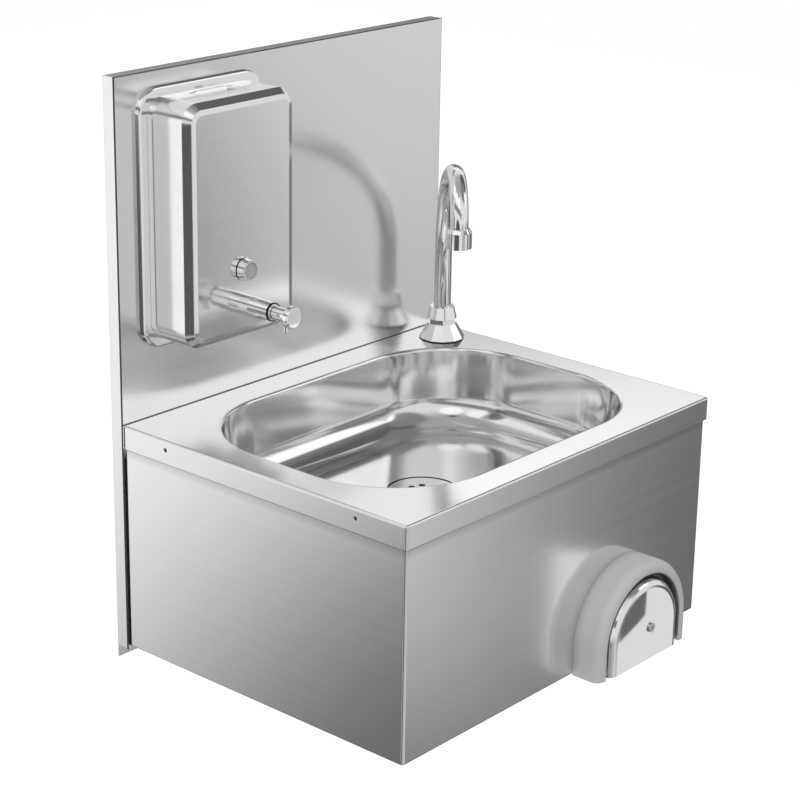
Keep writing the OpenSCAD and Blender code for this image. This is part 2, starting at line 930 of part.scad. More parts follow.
module aerator_sleeve() {
  body_h = aerator_l - aerator_chamfer;
  color("lightgray") along_spout() translate([outlet_reach, 0, sleeve_low]) difference() {
    union() {
      cylinder(r = aerator_r, h = body_h);
      translate([0, 0, body_h])
        cylinder(r1 = aerator_r, r2 = aerator_r - aerator_chamfer_in, h = aerator_chamfer);
    }
    translate([0, 0, -over]) cylinder(r = aerator_r - aerator_wall, h = chamber_h + over);
    translate([0, 0, -over]) cylinder(r = spout_r + fit, h = aerator_l + 2 * over);
  }
}

module aerator_insert() {
  color("dimgray") along_spout() translate([outlet_reach, 0, sleeve_low + insert_up]) difference() {
    cylinder(r = aerator_r - aerator_wall - insert_gap, h = insert_l);
    translate([0, 0, -over]) cylinder(r = insert_hole_r, h = insert_l + 2 * over);
    for (i = [0 : insert_holes - 1]) {
      rotate([0, 0, 360 * i / insert_holes]) translate([insert_ring_r, 0, -over])
        cylinder(r = insert_hole_r, h = insert_l + 2 * over);
    }
  }
}

// Supply

outlet_y = panel_y + outlet_s;
supply_plan = [tap_x - valve_x, tap_y - outlet_y];
supply_len = norm(supply_plan);
supply_turn = atan2(supply_plan[1], supply_plan[0]);
boss_top = valve_z + outlet_boss_h;
supply_z = (boss_top - shank_l) / 2;

module supply_bar(r, extra) {
  low = boss_top - supply_in - extra;
  translate([0, 0, low]) cylinder(r = r, h = supply_z - supply_bend - low);
  translate([supply_bend, 0, supply_z - supply_bend]) quarter(supply_bend, r, 90);
  translate([supply_bend, 0, supply_z]) rotate([0, 90, 0])
    cylinder(r = r, h = supply_len - 2 * supply_bend);
  translate([supply_len - supply_bend, 0, supply_z + supply_bend]) quarter(supply_bend, r, 270);
  translate([supply_len, 0, supply_z + supply_bend])
    cylinder(r = r, h = supply_in + extra - shank_l - supply_z - supply_bend);
}

module supply_tube() {
  color("chocolate") translate([valve_x, outlet_y, 0]) rotate([0, 0, supply_turn]) difference() {
    supply_bar(supply_r, 0);
    supply_bar(supply_r - supply_wall, over);
  }
}

module supply_nuts() {
  color("goldenrod") {
    translate([valve_x, outlet_y, boss_top]) hex_nut(supply_nut_r, supply_r + fit, supply_nut_h);
    at_tap() translate([0, 0, -shank_l - supply_nut_h]) hex_nut(supply_nut_r, supply_r + fit, supply_nut_h);
  }
}

// Knee valve

module at_knee() {
  translate([knee_x, panel_y, knee_z]) children();
}

module at_valve() {
  translate([valve_x, panel_y, valve_z]) children();
}

// Outline of the housing's section, x outwards from the axis, y out of the cabinet
module housing_skin(solid) {
  edge = housing_edge - housing_wall;
  outside = concat(
    [[housing_r, 0]],
    arc(housing_r - housing_edge, housing_out - housing_edge, housing_edge, 0, 90, 6),
    arc(housing_bore + housing_lip, housing_out - housing_lip, housing_lip, 90, 180, 3),
    [[housing_bore, 0]]
  );
  inside = concat(
    [[housing_bore + housing_wall, 0], [housing_bore + housing_wall, housing_out - housing_wall]],
    arc(housing_r - housing_edge, housing_out - housing_edge, edge, 90, 0, 6),
    [[housing_r - housing_wall, 0]]
  );
  polygon(solid ? outside : concat(outside, inside));
}

module knee_housing() {
  boss_l = housing_out - housing_edge + housing_wall;
  color("gray") at_knee() outward() {
    arch_form(leg - housing_wall) housing_skin(false);
    translate([0, housing_wall - leg, 0]) for (m = [0, 1]) {
      mirror([m, 0, 0]) rotate([90, 0, 0]) linear_extrude(housing_wall) housing_skin(true);
    }
    for (turn = boss_turns) {
      rotate([0, 0, turn]) translate([boss_ring, 0, 0]) difference() {
        cylinder(r = boss_r, h = boss_l);
        translate([0, 0, -over]) cylinder(r = boss_pilot, h = boss_deep + over);
      }
    }
  }
}

module housing_screws() {
  color("gray") at_knee() outward() for (turn = boss_turns) {
    rotate([0, 0, turn]) translate([boss_ring, 0, -sheet])
      pan_screw(housing_screw_r, housing_screw_l, housing_head_r, housing_head_h);
  }
}

function plate_side(wall) = concat(
  [[0, plate_z - wall]],
  arc(plate_r - plate_edge, plate_z - plate_edge, plate_edge - wall, 90, 0, 6),
  [[plate_r - wall, plate_z - plate_skirt]]
);

module knee_plate() {
  color("lightgray") at_knee() outward() difference() {
    union() {
      arch_form(leg) polygon(concat(plate_side(0), back_to_front(plate_side(plate_t))));
      translate([valve_right, valve_up, plate_z - plate_t - hub_l]) ring(hub_r, spindle_r + fit, hub_l);
    }
    translate([valve_right, valve_up, plate_z - plate_t - over])
      cylinder(r = plate_screw_r + loose, h = plate_t + 2 * over);
  }
}

module plate_screw() {
  slot = plate_head_h / 2;
  color("gray") at_valve() translate([0, -plate_z, 0]) difference() {
    inward() pan_screw(plate_screw_r, plate_screw_l, plate_head_r, plate_head_h);
    for (turn = [0, 90]) {
      rotate([0, turn, 0]) translate([-plate_screw_r, -plate_head_h - over, -slot / 2])
        cube([2 * plate_screw_r, slot + over, slot]);
    }
  }
}

module valve_spindle() {
  low = plate_t - plate_z;
  color("silver") at_valve() inward() difference() {
    union() {
      translate([0, 0, low]) cylinder(r = spindle_r, h = stem_s - low);
      translate([0, 0, stem_s]) cylinder(r = stem_r, h = piston_s - stem_s);
      translate([0, 0, piston_s]) cylinder(r = piston_r, h = piston_t);
      translate([0, 0, piston_s + piston_t]) cylinder(r = spindle_r, h = spindle_tail);
    }
    translate([0, 0, low - over]) cylinder(r = plate_screw_r + fit, h = plate_screw_l + over);
  }
}

module seat_disc() {
  color("black") at_valve() inward() translate([0, 0, disc_s]) ring(piston_r, stem_r, disc_t);
}

module spindle_seal() {
  color("black") at_valve() inward() translate([0, 0, -seal_s]) ring(seal_r, spindle_r + fit, seal_w);
}

module valve_spring() {
  color("gray") at_valve() inward() coil(
    valve_coil_r, valve_curls, piston_s + piston_t + rest_gap,
    valve_l - cap_plug - rest_gap, valve_wire, "valve_spring"
  );
}

module valve_body() {
  color("goldenrod") at_valve() inward() difference() {
    union() {
      translate([0, 0, -nose_l]) cylinder(r = nose_r, h = nose_l + sheet + valve_flange_t);
      translate([0, 0, sheet]) cylinder(r = valve_flange_r, h = valve_flange_t);
      translate([0, 0, sheet]) cylinder(r = valve_r, h = valve_l - sheet);
      translate([0, 0, outlet_s]) rotate([90, 0, 0]) cylinder(r = outlet_boss_r, h = outlet_boss_h);
      translate([-inlet_half, 0, inlet_s]) rotate([0, 90, 0]) cylinder(r = inlet_bar_r, h = 2 * inlet_half);
      for (x = [-inlet_half, inlet_half]) {
        translate([x, -inlet_boss_up, inlet_s]) inward()
          cylinder(r = inlet_boss_r, h = inlet_boss_up + inlet_boss_l);
      }
    }
    translate([0, 0, -nose_l - over]) cylinder(r = spindle_r + fit, h = nose_l + front_chamber_s + 2 * over);
    translate([0, 0, -seal_s]) cylinder(r = seal_r, h = seal_w);
    translate([0, 0, front_chamber_s]) cylinder(r = front_chamber_r, h = seat_s - front_chamber_s);
    translate([0, 0, seat_s - over]) cylinder(r = seat_bore, h = seat_t + 2 * over);
    translate([0, 0, seat_back]) cylinder(r = rear_chamber_r, h = valve_l - seat_back + over);
    translate([0, 0, outlet_s]) rotate([90, 0, 0]) {
      cylinder(r = supply_r - supply_wall, h = outlet_boss_h);
      translate([0, 0, outlet_boss_h - supply_in]) cylinder(r = supply_r + fit, h = supply_in + over);
    }
    translate([-inlet_half, 0, inlet_s]) rotate([0, 90, 0]) cylinder(r = inlet_bar_bore, h = 2 * inlet_half);
    for (x = [-inlet_half, inlet_half]) {
      translate([x, 0, inlet_s]) inward() cylinder(r = inlet_bore, h = inlet_boss_l);
      translate([x, inlet_boss_l - inlet_spigot_l, inlet_s]) inward()
        cylinder(r = inlet_spigot_r + fit, h = inlet_spigot_l + over);
    }
  }
}

module valve_washer() {
  color("black") at_valve() outward() ring(valve_flange_r, nose_r + loose, valve_washer_t);
}

module valve_nut() {
  color("goldenrod") at_valve() outward() translate([0, 0, valve_washer_t])
    hex_nut(valve_nut_r, nose_r + fit, valve_nut_h);
}

module valve_cap() {
  color("goldenrod") at_valve() inward() translate([0, 0, valve_l]) {
    translate([0, 0, -cap_plug]) cylinder(r = rear_chamber_r - fit, h = cap_plug);
    cylinder(r = cap_hex_r, h = cap_hex_h, $fn = 6);
  }
}

module inlet_tails() {
  color("goldenrod") at_valve() for (x = [-inlet_half, inlet_half]) {
    translate([x, inlet_s, -inlet_boss_l]) rotate([180, 0, 0]) difference() {
      union() {
        translate([0, 0, -inlet_spigot_l]) cylinder(r = inlet_spigot_r, h = inlet_spigot_l);
        cylinder(r = inlet_hex_r, h = inlet_hex_l, $fn = 6);
        translate([0, 0, inlet_hex_l]) cylinder(r = inlet_thread_r, h = inlet_thread_l);
      }
      translate([0, 0, -inlet_spigot_l - over])
        cylinder(r = inlet_bore, h = inlet_spigot_l + inlet_hex_l + inlet_thread_l + 2 * over);
    }
  }
}

// Soap dispenser

module at_disp() {
  translate([disp_x, splash_y, disp_z]) outward() children();
}

module stud(r, head_r) {
  translate([0, 0, hang_t]) cylinder(r = head_r, h = stud_head_t);
  translate([0, 0, hang_t + stud_head_t]) cylinder(r = r, h = back_d - shell - hang_t - stud_head_t);
}

module hang_key() {
  translate([0, 0, hang_up - hang_t - over]) {
    hull() {
      cylinder(r = stud_r + fit, h = hang_t + 2 * over, $fn = 32);
      translate([0, hang_key_l, 0]) cylinder(r = stud_r + fit, h = hang_t + 2 * over, $fn = 32);
    }
    translate([0, hang_key_l, 0]) cylinder(r = stud_head_r + loose, h = hang_t + 2 * over);
  }
}

module dispenser_hanger() {
  color("gray") at_disp() translate([0, stud_y, 0]) difference() {
    union() {
      translate([-hang_half, -hang_h / 2, hang_up - hang_t]) cube([2 * hang_half, hang_h, hang_t]);
      for (m = [0, 1]) {
        mirror([m, 0, 0]) {
          translate([hang_half - hang_t, -hang_h / 2, 0]) cube([hang_t, hang_h, hang_up]);
          translate([hang_half - hang_t, -hang_h / 2, 0]) cube([hang_foot, hang_h, hang_t]);
        }
      }
    }
    for (x = [-stud_x, stud_x]) {
      translate([x, 0, 0]) hang_key();
    }
    for (x = [-hang_screw_x, hang_screw_x], y = [-hang_screw_y, hang_screw_y]) {
      translate([x, y, -over]) cylinder(r = screw_hole_r, h = hang_t + 2 * over);
    }
  }
}

module hanger_screws() {
  color("gray") for (p = hang_screw_places()) {
    translate([p[0], splash_y - hang_t, p[1]]) inward()
      pan_screw(screw_r, hang_screw_l, screw_head_r, hang_screw_head_h);
  }
}

module hanger_nuts() {
  color("gray") for (p = hang_screw_places()) {
    translate([p[0], splash_y + sheet, p[1]]) inward() hex_nut(nut_r, screw_r + fit, nut_h);
  }
}

function back_side(wall) = concat(
  [[back_r - wall, 0]],
  arc(back_r - back_edge, back_d - back_edge, back_edge - wall, 0, 90, 4),
  [[0, back_d - wall]]
);

module dispenser_back() {
  color("lightgray") at_disp() {
    pressed(disp_w + 2 * back_margin, disp_h + 2 * back_margin, back_r, back_d - shell, back_d)
      polygon(concat(back_side(0), back_to_front(back_side(shell))));
    for (x = [-stud_x, stud_x]) {
      translate([x, stud_y, 0]) stud(stud_r, stud_head_r);
    }
  }
}

// Outline of the body's section, the inner one drawn in by the wall
function body_side(wall) = [
  [disp_r - wall, back_d],
  [disp_r - wall, face_start - wall / 2],
  [disp_r - facet_in - wall * 2 / 3, face_start + facet_out - wall * 2 / 3],
  [disp_r - facet_in - roll_in, disp_d - wall],
  [0, disp_d - wall]
];

// Place of the lid in the top of the body: x across, y up, z outwards
lid_front = lid_axis_d + lid_d;
lid_rear = lid_axis_d - barrel_r - rest_gap;

module lid_ledge() {
  frame_w = lid_w + 2 * lid_gap;
  depth = lid_front + lid_gap - lid_axis_d;
  difference() {
    translate([-frame_w / 2 - ledge_wide, top_y - shell - rest_gap - ledge_t, lid_axis_d])
      cube([frame_w + 2 * ledge_wide, ledge_t + rest_gap, depth + ledge_wide]);
    translate([-frame_w / 2, top_y - shell - rest_gap, lid_axis_d - over])
      cube([frame_w, rest_gap + over, depth + over]);
    translate([-frame_w / 2 + ledge_in, top_y - shell - rest_gap - ledge_t - over, lid_axis_d - over])
      cube([frame_w - 2 * ledge_in, ledge_t + 2 * over, depth - ledge_in + over]);
    translate([-barrel_half - lid_gap, top_y - shell - rest_gap - ledge_t - over, lid_axis_d - over])
      cube([2 * (barrel_half + lid_gap), ledge_t + 2 * over, barrel_r + rest_gap + over]);
  }
}

// Fixed knuckles of the lid's hinge, one at each end of its barrel
module lid_knuckles() {
  knuckle_l = lid_w / 2 + lid_gap - barrel_half - lid_gap;
  for (m = [0, 1]) {
    mirror([m, 0, 0]) translate([barrel_half + lid_gap, barrel_y, lid_axis_d]) rotate([0, 90, 0]) {
      cylinder(r = barrel_r, h = knuckle_l);
    }
    mirror([m, 0, 0]) translate([barrel_half + lid_gap, barrel_y - barrel_r, lid_rear - over])
      cube([knuckle_l, 2 * barrel_r, barrel_r + rest_gap + over]);
  }
}

module dispenser_body() {
  frame_w = lid_w + 2 * lid_gap;
  color("silver") at_disp() difference() {
    union() {
      difference() {
        pressed(disp_w, disp_h, disp_r, disp_d - shell, disp_d)
          polygon(concat(body_side(0), back_to_front(body_side(shell))));
        translate([-frame_w / 2, top_y - shell - over, lid_rear])
          cube([frame_w, shell + 2 * over, lid_front + lid_gap - lid_rear]);
      }
      lid_ledge();
      lid_knuckles();
    }
    translate([-lid_w / 2 - lid_gap, barrel_y, lid_axis_d]) rotate([0, 90, 0])
      cylinder(r = lid_pin_r + fit, h = lid_w + 2 * lid_gap);
    translate([0, sight_y, disp_d - shell - over]) cylinder(r = sight_hole, h = shell + 2 * over);
    translate([0, pump_y, disp_d - shell - over]) cylinder(r = pump_hole, h = shell + 2 * over);
  }
}

module dispenser_lid() {
  color("silver") at_disp() difference() {
    union() {
      translate([-lid_w / 2, top_y - shell, lid_axis_d + lid_notch]) cube([lid_w, shell, lid_d - lid_notch]);
      translate([-barrel_half, top_y - shell, lid_axis_d]) cube([2 * barrel_half, shell, lid_notch]);
      translate([-barrel_half, barrel_y, lid_axis_d]) rotate([0, 90, 0])
        cylinder(r = barrel_r, h = 2 * barrel_half);
    }
    translate([-barrel_half - over, barrel_y, lid_axis_d]) rotate([0, 90, 0])
      cylinder(r = lid_pin_r + fit, h = 2 * (barrel_half + over));
    translate([lock_x, top_y - shell - over, lock_d]) rotate([-90, 0, 0])
      cylinder(r = lock_r + fit, h = shell + 2 * over);
  }
}

module lid_pin() {
  color("gray") at_disp() translate([-lid_w / 2 - lid_gap, barrel_y, lid_axis_d]) rotate([0, 90, 0])
    cylinder(r = lid_pin_r, h = lid_w + 2 * lid_gap);
}

module lid_lock() {
  color("gray") at_disp() translate([lock_x, top_y, lock_d]) rotate([-90, 0, 0]) difference() {
    union() {
      cylinder(r = lock_head_r, h = lock_head_t);
      translate([0, 0, -lock_l]) cylinder(r = lock_r, h = lock_l);
      translate([-cam_l, -cam_w / 2, -lock_l]) cube([cam_l, cam_w, cam_t]);
    }
    translate([-lock_slot_l / 2, -lock_slot_w / 2, lock_head_t - lock_slot_t])
      cube([lock_slot_l, lock_slot_w, lock_slot_t + over]);
  }
}

module at_sight() {
  at_disp() translate([0, sight_y, 0]) children();
}

module sight_gasket() {
  color("black") at_sight() translate([0, 0, disp_d])
    ring(sight_r - sight_gasket_in, sight_hole + loose, sight_gasket_t);
}

module sight_bezel() {
  base_z = disp_d + sight_gasket_t;
  color("lightgray") at_sight() difference() {
    union() {
      translate([0, 0, base_z]) cylinder(r = sight_r, h = sight_base_t);
      translate([0, 0, base_z]) cylinder(r = sight_face_r, h = sight_out);
      translate([0, 0, disp_d - sight_neck_l])
        cylinder(r = sight_hole - loose, h = sight_neck_l + sight_gasket_t);
    }
    translate([0, 0, disp_d - sight_neck_l - over])
      cylinder(r = sight_bore, h = sight_neck_l + sight_out + 2 * over);
    translate([0, 0, base_z + sight_out - lens_in - lens_t])
      cylinder(r = lens_r + fit, h = lens_in + lens_t + over);
  }
}

module sight_lens() {
  color("lightblue") at_sight() translate([0, 0, disp_d + sight_gasket_t + sight_out - lens_in - lens_t])
    cylinder(r = lens_r, h = lens_t);
}

module sight_nut() {
  color("gray") at_sight() translate([0, 0, disp_d - shell - sight_nut_h])
    hex_nut(sight_nut_r, sight_hole - loose + fit, sight_nut_h);
}

module at_pump() {
  at_disp() translate([0, pump_y, 0]) children();
}

module pump_sleeve() {
  mid = sleeve_l * sleeve_mid_share;
  color("lightgray") at_pump() difference() {
    union() {
      translate([0, 0, disp_d]) rotate_extrude() polygon([
        [0, 0], [sleeve_base_r, 0], [sleeve_mid_r, mid], [sleeve_end_r, sleeve_l], [0, sleeve_l]
      ]);
      translate([0, 0, disp_d - pump_neck_l]) cylinder(r = pump_hole - fit, h = pump_neck_l);
    }
    translate([0, 0, step_z]) cylinder(r = guide_r + fit, h = sleeve_l + over);
    translate([0, 0, disp_d - pump_neck_l + end_wall])
      cylinder(r = piston_bore, h = pump_neck_l - end_wall + guide_step + over);
    translate([0, 0, disp_d - shell - pump_gasket_t - pump_nut_h - feed_back]) rotate([90, 0, 0])
      translate([0, 0, -pump_hole]) cylinder(r = feed_r, h = 2 * pump_hole);
  }
}

module pump_gasket() {
  color("black") at_pump() translate([0, 0, disp_d - shell - pump_gasket_t])
    ring(pump_gasket_r, pump_hole, pump_gasket_t);
}

module pump_nut() {
  color("goldenrod") at_pump() translate([0, 0, disp_d - shell - pump_gasket_t - pump_nut_h])
    hex_nut(pump_nut_r, pump_hole, pump_nut_h);
}

module pump_seal() {
  color("black") at_pump() translate([0, 0, sleeve_end]) ring(sleeve_end_r, neck_r + fit, pump_seal_t);
}

module pump_head() {
  color("lightgray") at_pump() difference() {
    union() {
      translate([0, 0, guide_z]) cylinder(r = guide_r, h = guide_in - rest_gap);
      translate([0, 0, guide_z]) cylinder(r = neck_r, h = head_z - guide_z);
      translate([0, 0, head_z]) rotate_extrude() polygon(concat(
        [[0, 0], [head_r - head_edge, 0]],
        arc(head_r - head_edge, head_edge, head_edge, -90, 0, 3),
        arc(head_r - head_edge, head_t - head_edge, head_edge, 0, 90, 3),
        [[0, head_t]]
      ));
      translate([0, 0, head_z - nozzle_back]) rotate([90, 0, 0]) cylinder(r = nozzle_r, h = nozzle_drop);
    }
    translate([0, 0, guide_z - over]) cylinder(r = nozzle_bore, h = head_z - nozzle_back - guide_z + over);
    translate([0, 0, guide_z - over]) cylinder(r = rod_r + fit, h = rod_in + over);
    translate([0, 0, head_z - nozzle_back]) rotate([90, 0, 0])
      cylinder(r = nozzle_bore, h = nozzle_drop + over);
  }
}

module pump_piston() {
  color("whitesmoke") at_pump() difference() {
    union() {
      translate([0, 0, pump_piston_z]) cylinder(r = rod_r, h = guide_z + rod_in - pump_piston_z);
      translate([0, 0, pump_piston_z]) cylinder(r = piston_bore - fit, h = pump_piston_t);
    }
    translate([0, 0, pump_piston_z - over])
      cylinder(r = rod_bore, h = guide_z + rod_in - pump_piston_z + 2 * over);
  }
}

module pump_spring() {
  color("gray") at_pump() coil(
    pump_coil_r, pump_curls, step_z + rest_gap, guide_z - rest_gap, pump_wire, "pump_spring"
  );
}

wall_pan();
splashback();
worktop();
bowl();
cabinet();
frame_screws();
frame_nuts();
waste_gasket();
waste_strainer();
waste_washer();
waste_tail();
waste_screw();
tap_gasket();
tap_base();
tap_collar();
tap_washer();
tap_nut();
spout();
spout_orings();
aerator_sleeve();
aerator_insert();
supply_tube();
supply_nuts();
knee_housing();
housing_screws();
knee_plate();
plate_screw();
valve_spindle();
seat_disc();
spindle_seal();
valve_spring();
valve_body();
valve_washer();
valve_nut();
valve_cap();
inlet_tails();
dispenser_hanger();
hanger_screws();
hanger_nuts();
dispenser_back();
dispenser_body();
dispenser_lid();
lid_pin();
lid_lock();
sight_gasket();
sight_bezel();
sight_lens();
sight_nut();
pump_sleeve();
pump_gasket();
pump_nut();
pump_seal();
pump_head();
pump_piston();
pump_spring();
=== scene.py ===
"""Looks of the wall-hung hand wash sink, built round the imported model. Lengths are in metres."""
import math

import bpy
from mathutils import Euler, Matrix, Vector


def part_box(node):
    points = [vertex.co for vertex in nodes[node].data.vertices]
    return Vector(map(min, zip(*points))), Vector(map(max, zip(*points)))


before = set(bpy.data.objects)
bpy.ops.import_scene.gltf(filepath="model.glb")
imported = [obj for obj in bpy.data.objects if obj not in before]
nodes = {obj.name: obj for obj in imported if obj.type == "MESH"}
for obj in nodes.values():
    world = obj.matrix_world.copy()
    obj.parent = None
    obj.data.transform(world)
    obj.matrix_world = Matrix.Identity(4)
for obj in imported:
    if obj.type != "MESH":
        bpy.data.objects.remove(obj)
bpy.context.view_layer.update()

# Camera, fitted to the photograph
CAMERA_PLACE = (-1.34516, -1.31307, 0.63567)
CAMERA_TURN = (71.501, -0.8766, -48.6928)
CAMERA_LENS = 99.2411
CAMERA_SHIFT = -0.05
CAMERA_NEAR, CAMERA_FAR = 0.05, 60
SENSOR_WIDTH = 36

camera = bpy.data.objects.new("camera", bpy.data.cameras.new("camera"))
bpy.context.collection.objects.link(camera)
camera.location = CAMERA_PLACE
camera.rotation_euler = Euler([math.radians(a) for a in CAMERA_TURN], "XYZ")
camera.data.sensor_width = SENSOR_WIDTH
camera.data.lens = CAMERA_LENS
camera.data.shift_y = CAMERA_SHIFT
camera.data.clip_start, camera.data.clip_end = CAMERA_NEAR, CAMERA_FAR
bpy.context.scene.camera = camera
bpy.context.scene.view_settings.view_transform = "Standard"


# Node helpers

def link(tree, a, b):
    tree.links.new(a, b)


def set_or_link(tree, v, socket):
    if isinstance(v, (int, float, tuple)):
        socket.default_value = v
    else:
        link(tree, v, socket)


def value_math(tree, kind, a, b=None):
    n = tree.nodes.new("ShaderNodeMath")
    n.operation = kind
    for i, v in enumerate((a, b)):
        if v is not None:
            set_or_link(tree, v, n.inputs[i])
    return n.outputs[0]


def vector_math(tree, kind, a, b=None):
    """The result of an operation on sockets or vectors, or for SCALE on a vector and a number."""
    n = tree.nodes.new("ShaderNodeVectorMath")
    n.operation = kind
    set_or_link(tree, a, n.inputs[0])
    if b is not None:
        set_or_link(tree, b, n.inputs["Scale" if kind == "SCALE" else 1])
    return n.outputs["Value" if kind in ("DOT_PRODUCT", "LENGTH") else 0]


def split_vector(tree, vector):
    """The X, Y and Z sockets of a vector."""
    n = tree.nodes.new("ShaderNodeSeparateXYZ")
    link(tree, vector, n.inputs[0])
    return n.outputs


def object_place(tree):
    """The shaded point in the object's own coordinates."""
    return tree.nodes.new("ShaderNodeTexCoord").outputs["Object"]


def facing(tree):
    """The surface's own normal."""
    return tree.nodes.new("ShaderNodeNewGeometry").outputs["Normal"]


def principled(m):
    """The sockets of a material's shader."""
    return m.node_tree.nodes["Principled BSDF"].inputs


def add_mesh(name, points):
    """A stage piece of one flat face."""
    mesh = bpy.data.meshes.new(name)
    mesh.from_pydata(points, [], [range(len(points))])
    piece = bpy.data.objects.new(name, mesh)
    bpy.context.collection.objects.link(piece)
    return piece


def choose(tree, share, a, b):
    """The value a where share is 0, and b where it is 1."""
    mix = tree.nodes.new("ShaderNodeMix")
    link(tree, share, mix.inputs["Factor"])
    set_or_link(tree, a, mix.inputs[2])
    set_or_link(tree, b, mix.inputs[3])
    return mix.outputs[0]


def remap(tree, v, low, high, to_low, to_high, smooth=False):
    n = tree.nodes.new("ShaderNodeMapRange")
    n.interpolation_type = "SMOOTHSTEP" if smooth else "LINEAR"
    link(tree, v, n.inputs["Value"])
    for key, x in (("From Min", low), ("From Max", high), ("To Min", to_low), ("To Max", to_high)):
        n.inputs[key].default_value = x
    return n.outputs["Result"]


def direction(azimuth, elevation):
    """A direction: azimuth 0 is the user's side, 90 the right; elevation is above the horizon."""
    a, e = math.radians(azimuth), math.radians(elevation)
    return (math.sin(a) * math.cos(e), -math.cos(a) * math.cos(e), math.sin(e))


# Studio: a white tent with soft grey and dark flags, which the metal mirrors.
# Each zone is an azimuth, an elevation, an inner and an outer radius and a brightness.
# Later zones lie over earlier ones
ZONES = (
    # High up, seen in the worktop, the bowl and their reflections
    (0, 90, 16, 50, 0.5),
    (75, 42, 18, 27, 0.15),
    (35, 48, 16, 27, 0.3),
    (34, 38, 6, 12, 0.35),
    (47, 24, 8, 13, 1.5),
    (130.5, 23.5, 6, 12, 1.5),
    # Below
    (0, -90, 40, 60, 0.1),
    # Seen in the left faces
    (-150, -8, 16, 30, 1.3),
    (-119.5, -38.7, 13, 25, 0.16),
    (-70, -16, 17, 24, 0.12),
    # Seen in the front faces
    (46, -17, 9, 22, 0.98),
    (67.5, -23, 9, 18.5, 0.14),
    (50, -42, 9, 19, 0.1),
    (35, -17, 5, 13.2, 0.33),
    # Behind and to the right
    (130, 2, 12, 19, 0.15),
    (97, -16, 19, 29, 0.3),
    (130, -16, 19, 29, 0.3),
    (165, -16, 19, 29, 0.35),
    # Bright patches high on the left, and greys low in front
    (-47, 45, 11, 15, 1.4),
    (-92, 48, 11, 16, 1.3),
    (-135, 44, 11, 15, 1.4),
    (-44, -28, 5, 9, 0.4),
    (-8, -23, 9, 21, 0.55),
)

# Dark strips: azimuth and elevation of the middle, half width inside and outside, brightness
STRIPS = ((-90, 26, 4, 8, 0.3),)
STRIP_END, STRIP_FULL = 0.3, 0.5  # cosine of the angle to the middle where a strip ends and is full
ROOM = 1.0
TENT_SHADE = 0.8  # all that the metal mirrors
SOFT_LIGHT = 0.64  # what lights rough surfaces
BACKGROUND = 1.0


def build_world():
    world = bpy.data.worlds.new("studio")
    bpy.context.scene.world = world
    world.use_nodes = True
    tree = world.node_tree
    tree.nodes.clear()
    out = tree.nodes.new("ShaderNodeOutputWorld")
    ray = tree.nodes.new("ShaderNodeLightPath").outputs
    seen = tree.nodes.new("ShaderNodeTexCoord").outputs["Generated"]
    level = ROOM
    for azimuth, elevation, inner, outer, bright in ZONES:
        aligned = vector_math(tree, "DOT_PRODUCT", seen, direction(azimuth, elevation))
        mask = remap(tree, aligned, math.cos(math.radians(outer)), math.cos(math.radians(inner)),
                     0, 1, smooth=True)
        level = choose(tree, mask, level, bright)
    for azimuth, elevation, inner, outer, bright in STRIPS:
        across = vector_math(tree, "DOT_PRODUCT", seen, direction(azimuth + 180, 90 - elevation))
        aligned = vector_math(tree, "DOT_PRODUCT", seen, direction(azimuth, elevation))
        mask = remap(tree, value_math(tree, "ABSOLUTE", across), math.sin(math.radians(inner)),
                     math.sin(math.radians(outer)), 1, 0, smooth=True)
        side = remap(tree, aligned, STRIP_END, STRIP_FULL, 0, 1, smooth=True)
        level = choose(tree, value_math(tree, "MULTIPLY", mask, side), level, bright)
    level = value_math(tree, "MULTIPLY", level, TENT_SHADE)
    mirrored = choose(tree, ray["Is Glossy Ray"], SOFT_LIGHT, level)
    direct = value_math(tree, "MAXIMUM", ray["Is Camera Ray"], ray["Is Transmission Ray"])
    around = tree.nodes.new("ShaderNodeBackground")
    around.inputs["Color"].default_value = (1, 1, 1, 1)
    link(tree, choose(tree, direct, mirrored, BACKGROUND), around.inputs["Strength"])
    link(tree, around.outputs[0], out.inputs["Surface"])


# Name, place and power of each lamp
LAMPS = (("key", (-1.4, -0.9, 1.6), 26), ("fill", (1.2, -1.4, 1.2), 6))
LAMP_AIM = (0, -0.15, 0)
LAMP_SIZE = 0.9


def area_lamp(name, place, power):
    """A soft lamp that mirrors don't see."""
    data = bpy.data.lights.new(name, "AREA")
    data.shape, data.size, data.size_y, data.energy = "RECTANGLE", LAMP_SIZE, LAMP_SIZE, power
    lamp = bpy.data.objects.new(name, data)
    bpy.context.collection.objects.link(lamp)
    lamp.location = place
    lamp.rotation_euler = (Vector(LAMP_AIM) - Vector(place)).to_track_quat("-Z", "Y").to_euler()
    lamp.visible_glossy = False


build_world()
for name, place, power in LAMPS:
    area_lamp(name, place, power)

FLOOR_Z = -1.7
FLOOR_HALF = 9
FLOOR_GLOW = 0.5
floor_corners = ((-1, -1), (1, -1), (1, 1), (-1, 1))
studio_floor = add_mesh("studio_floor",
                        [(FLOOR_HALF * x, FLOOR_HALF * y, FLOOR_Z) for x, y in floor_corners])
studio_floor.visible_glossy = False

# A small reflector card beside the knee plate, and the dark flag that it carries
CARD_PLACE = Vector((0.2327, -0.4574, -0.2612))
CARD_FACING = Vector((-0.7441, 0.5142, 0.4266))
CARD_OUTLINE = ((-0.036, -0.056), (0.04, -0.056), (0.04, 0.058), (-0.036, 0.058))
CARD_GLOW = 0.78
FLAG_OUTLINE = ((0.0128, 0.0373), (-0.0011, 0.0416), (-0.0006, 0.0159), (0.0048, 0.0085),
                (0.0229, -0.0128), (0.0223, 0.0013))
FLAG_GLOW = 0.12
FLAG_GAP = 0.002


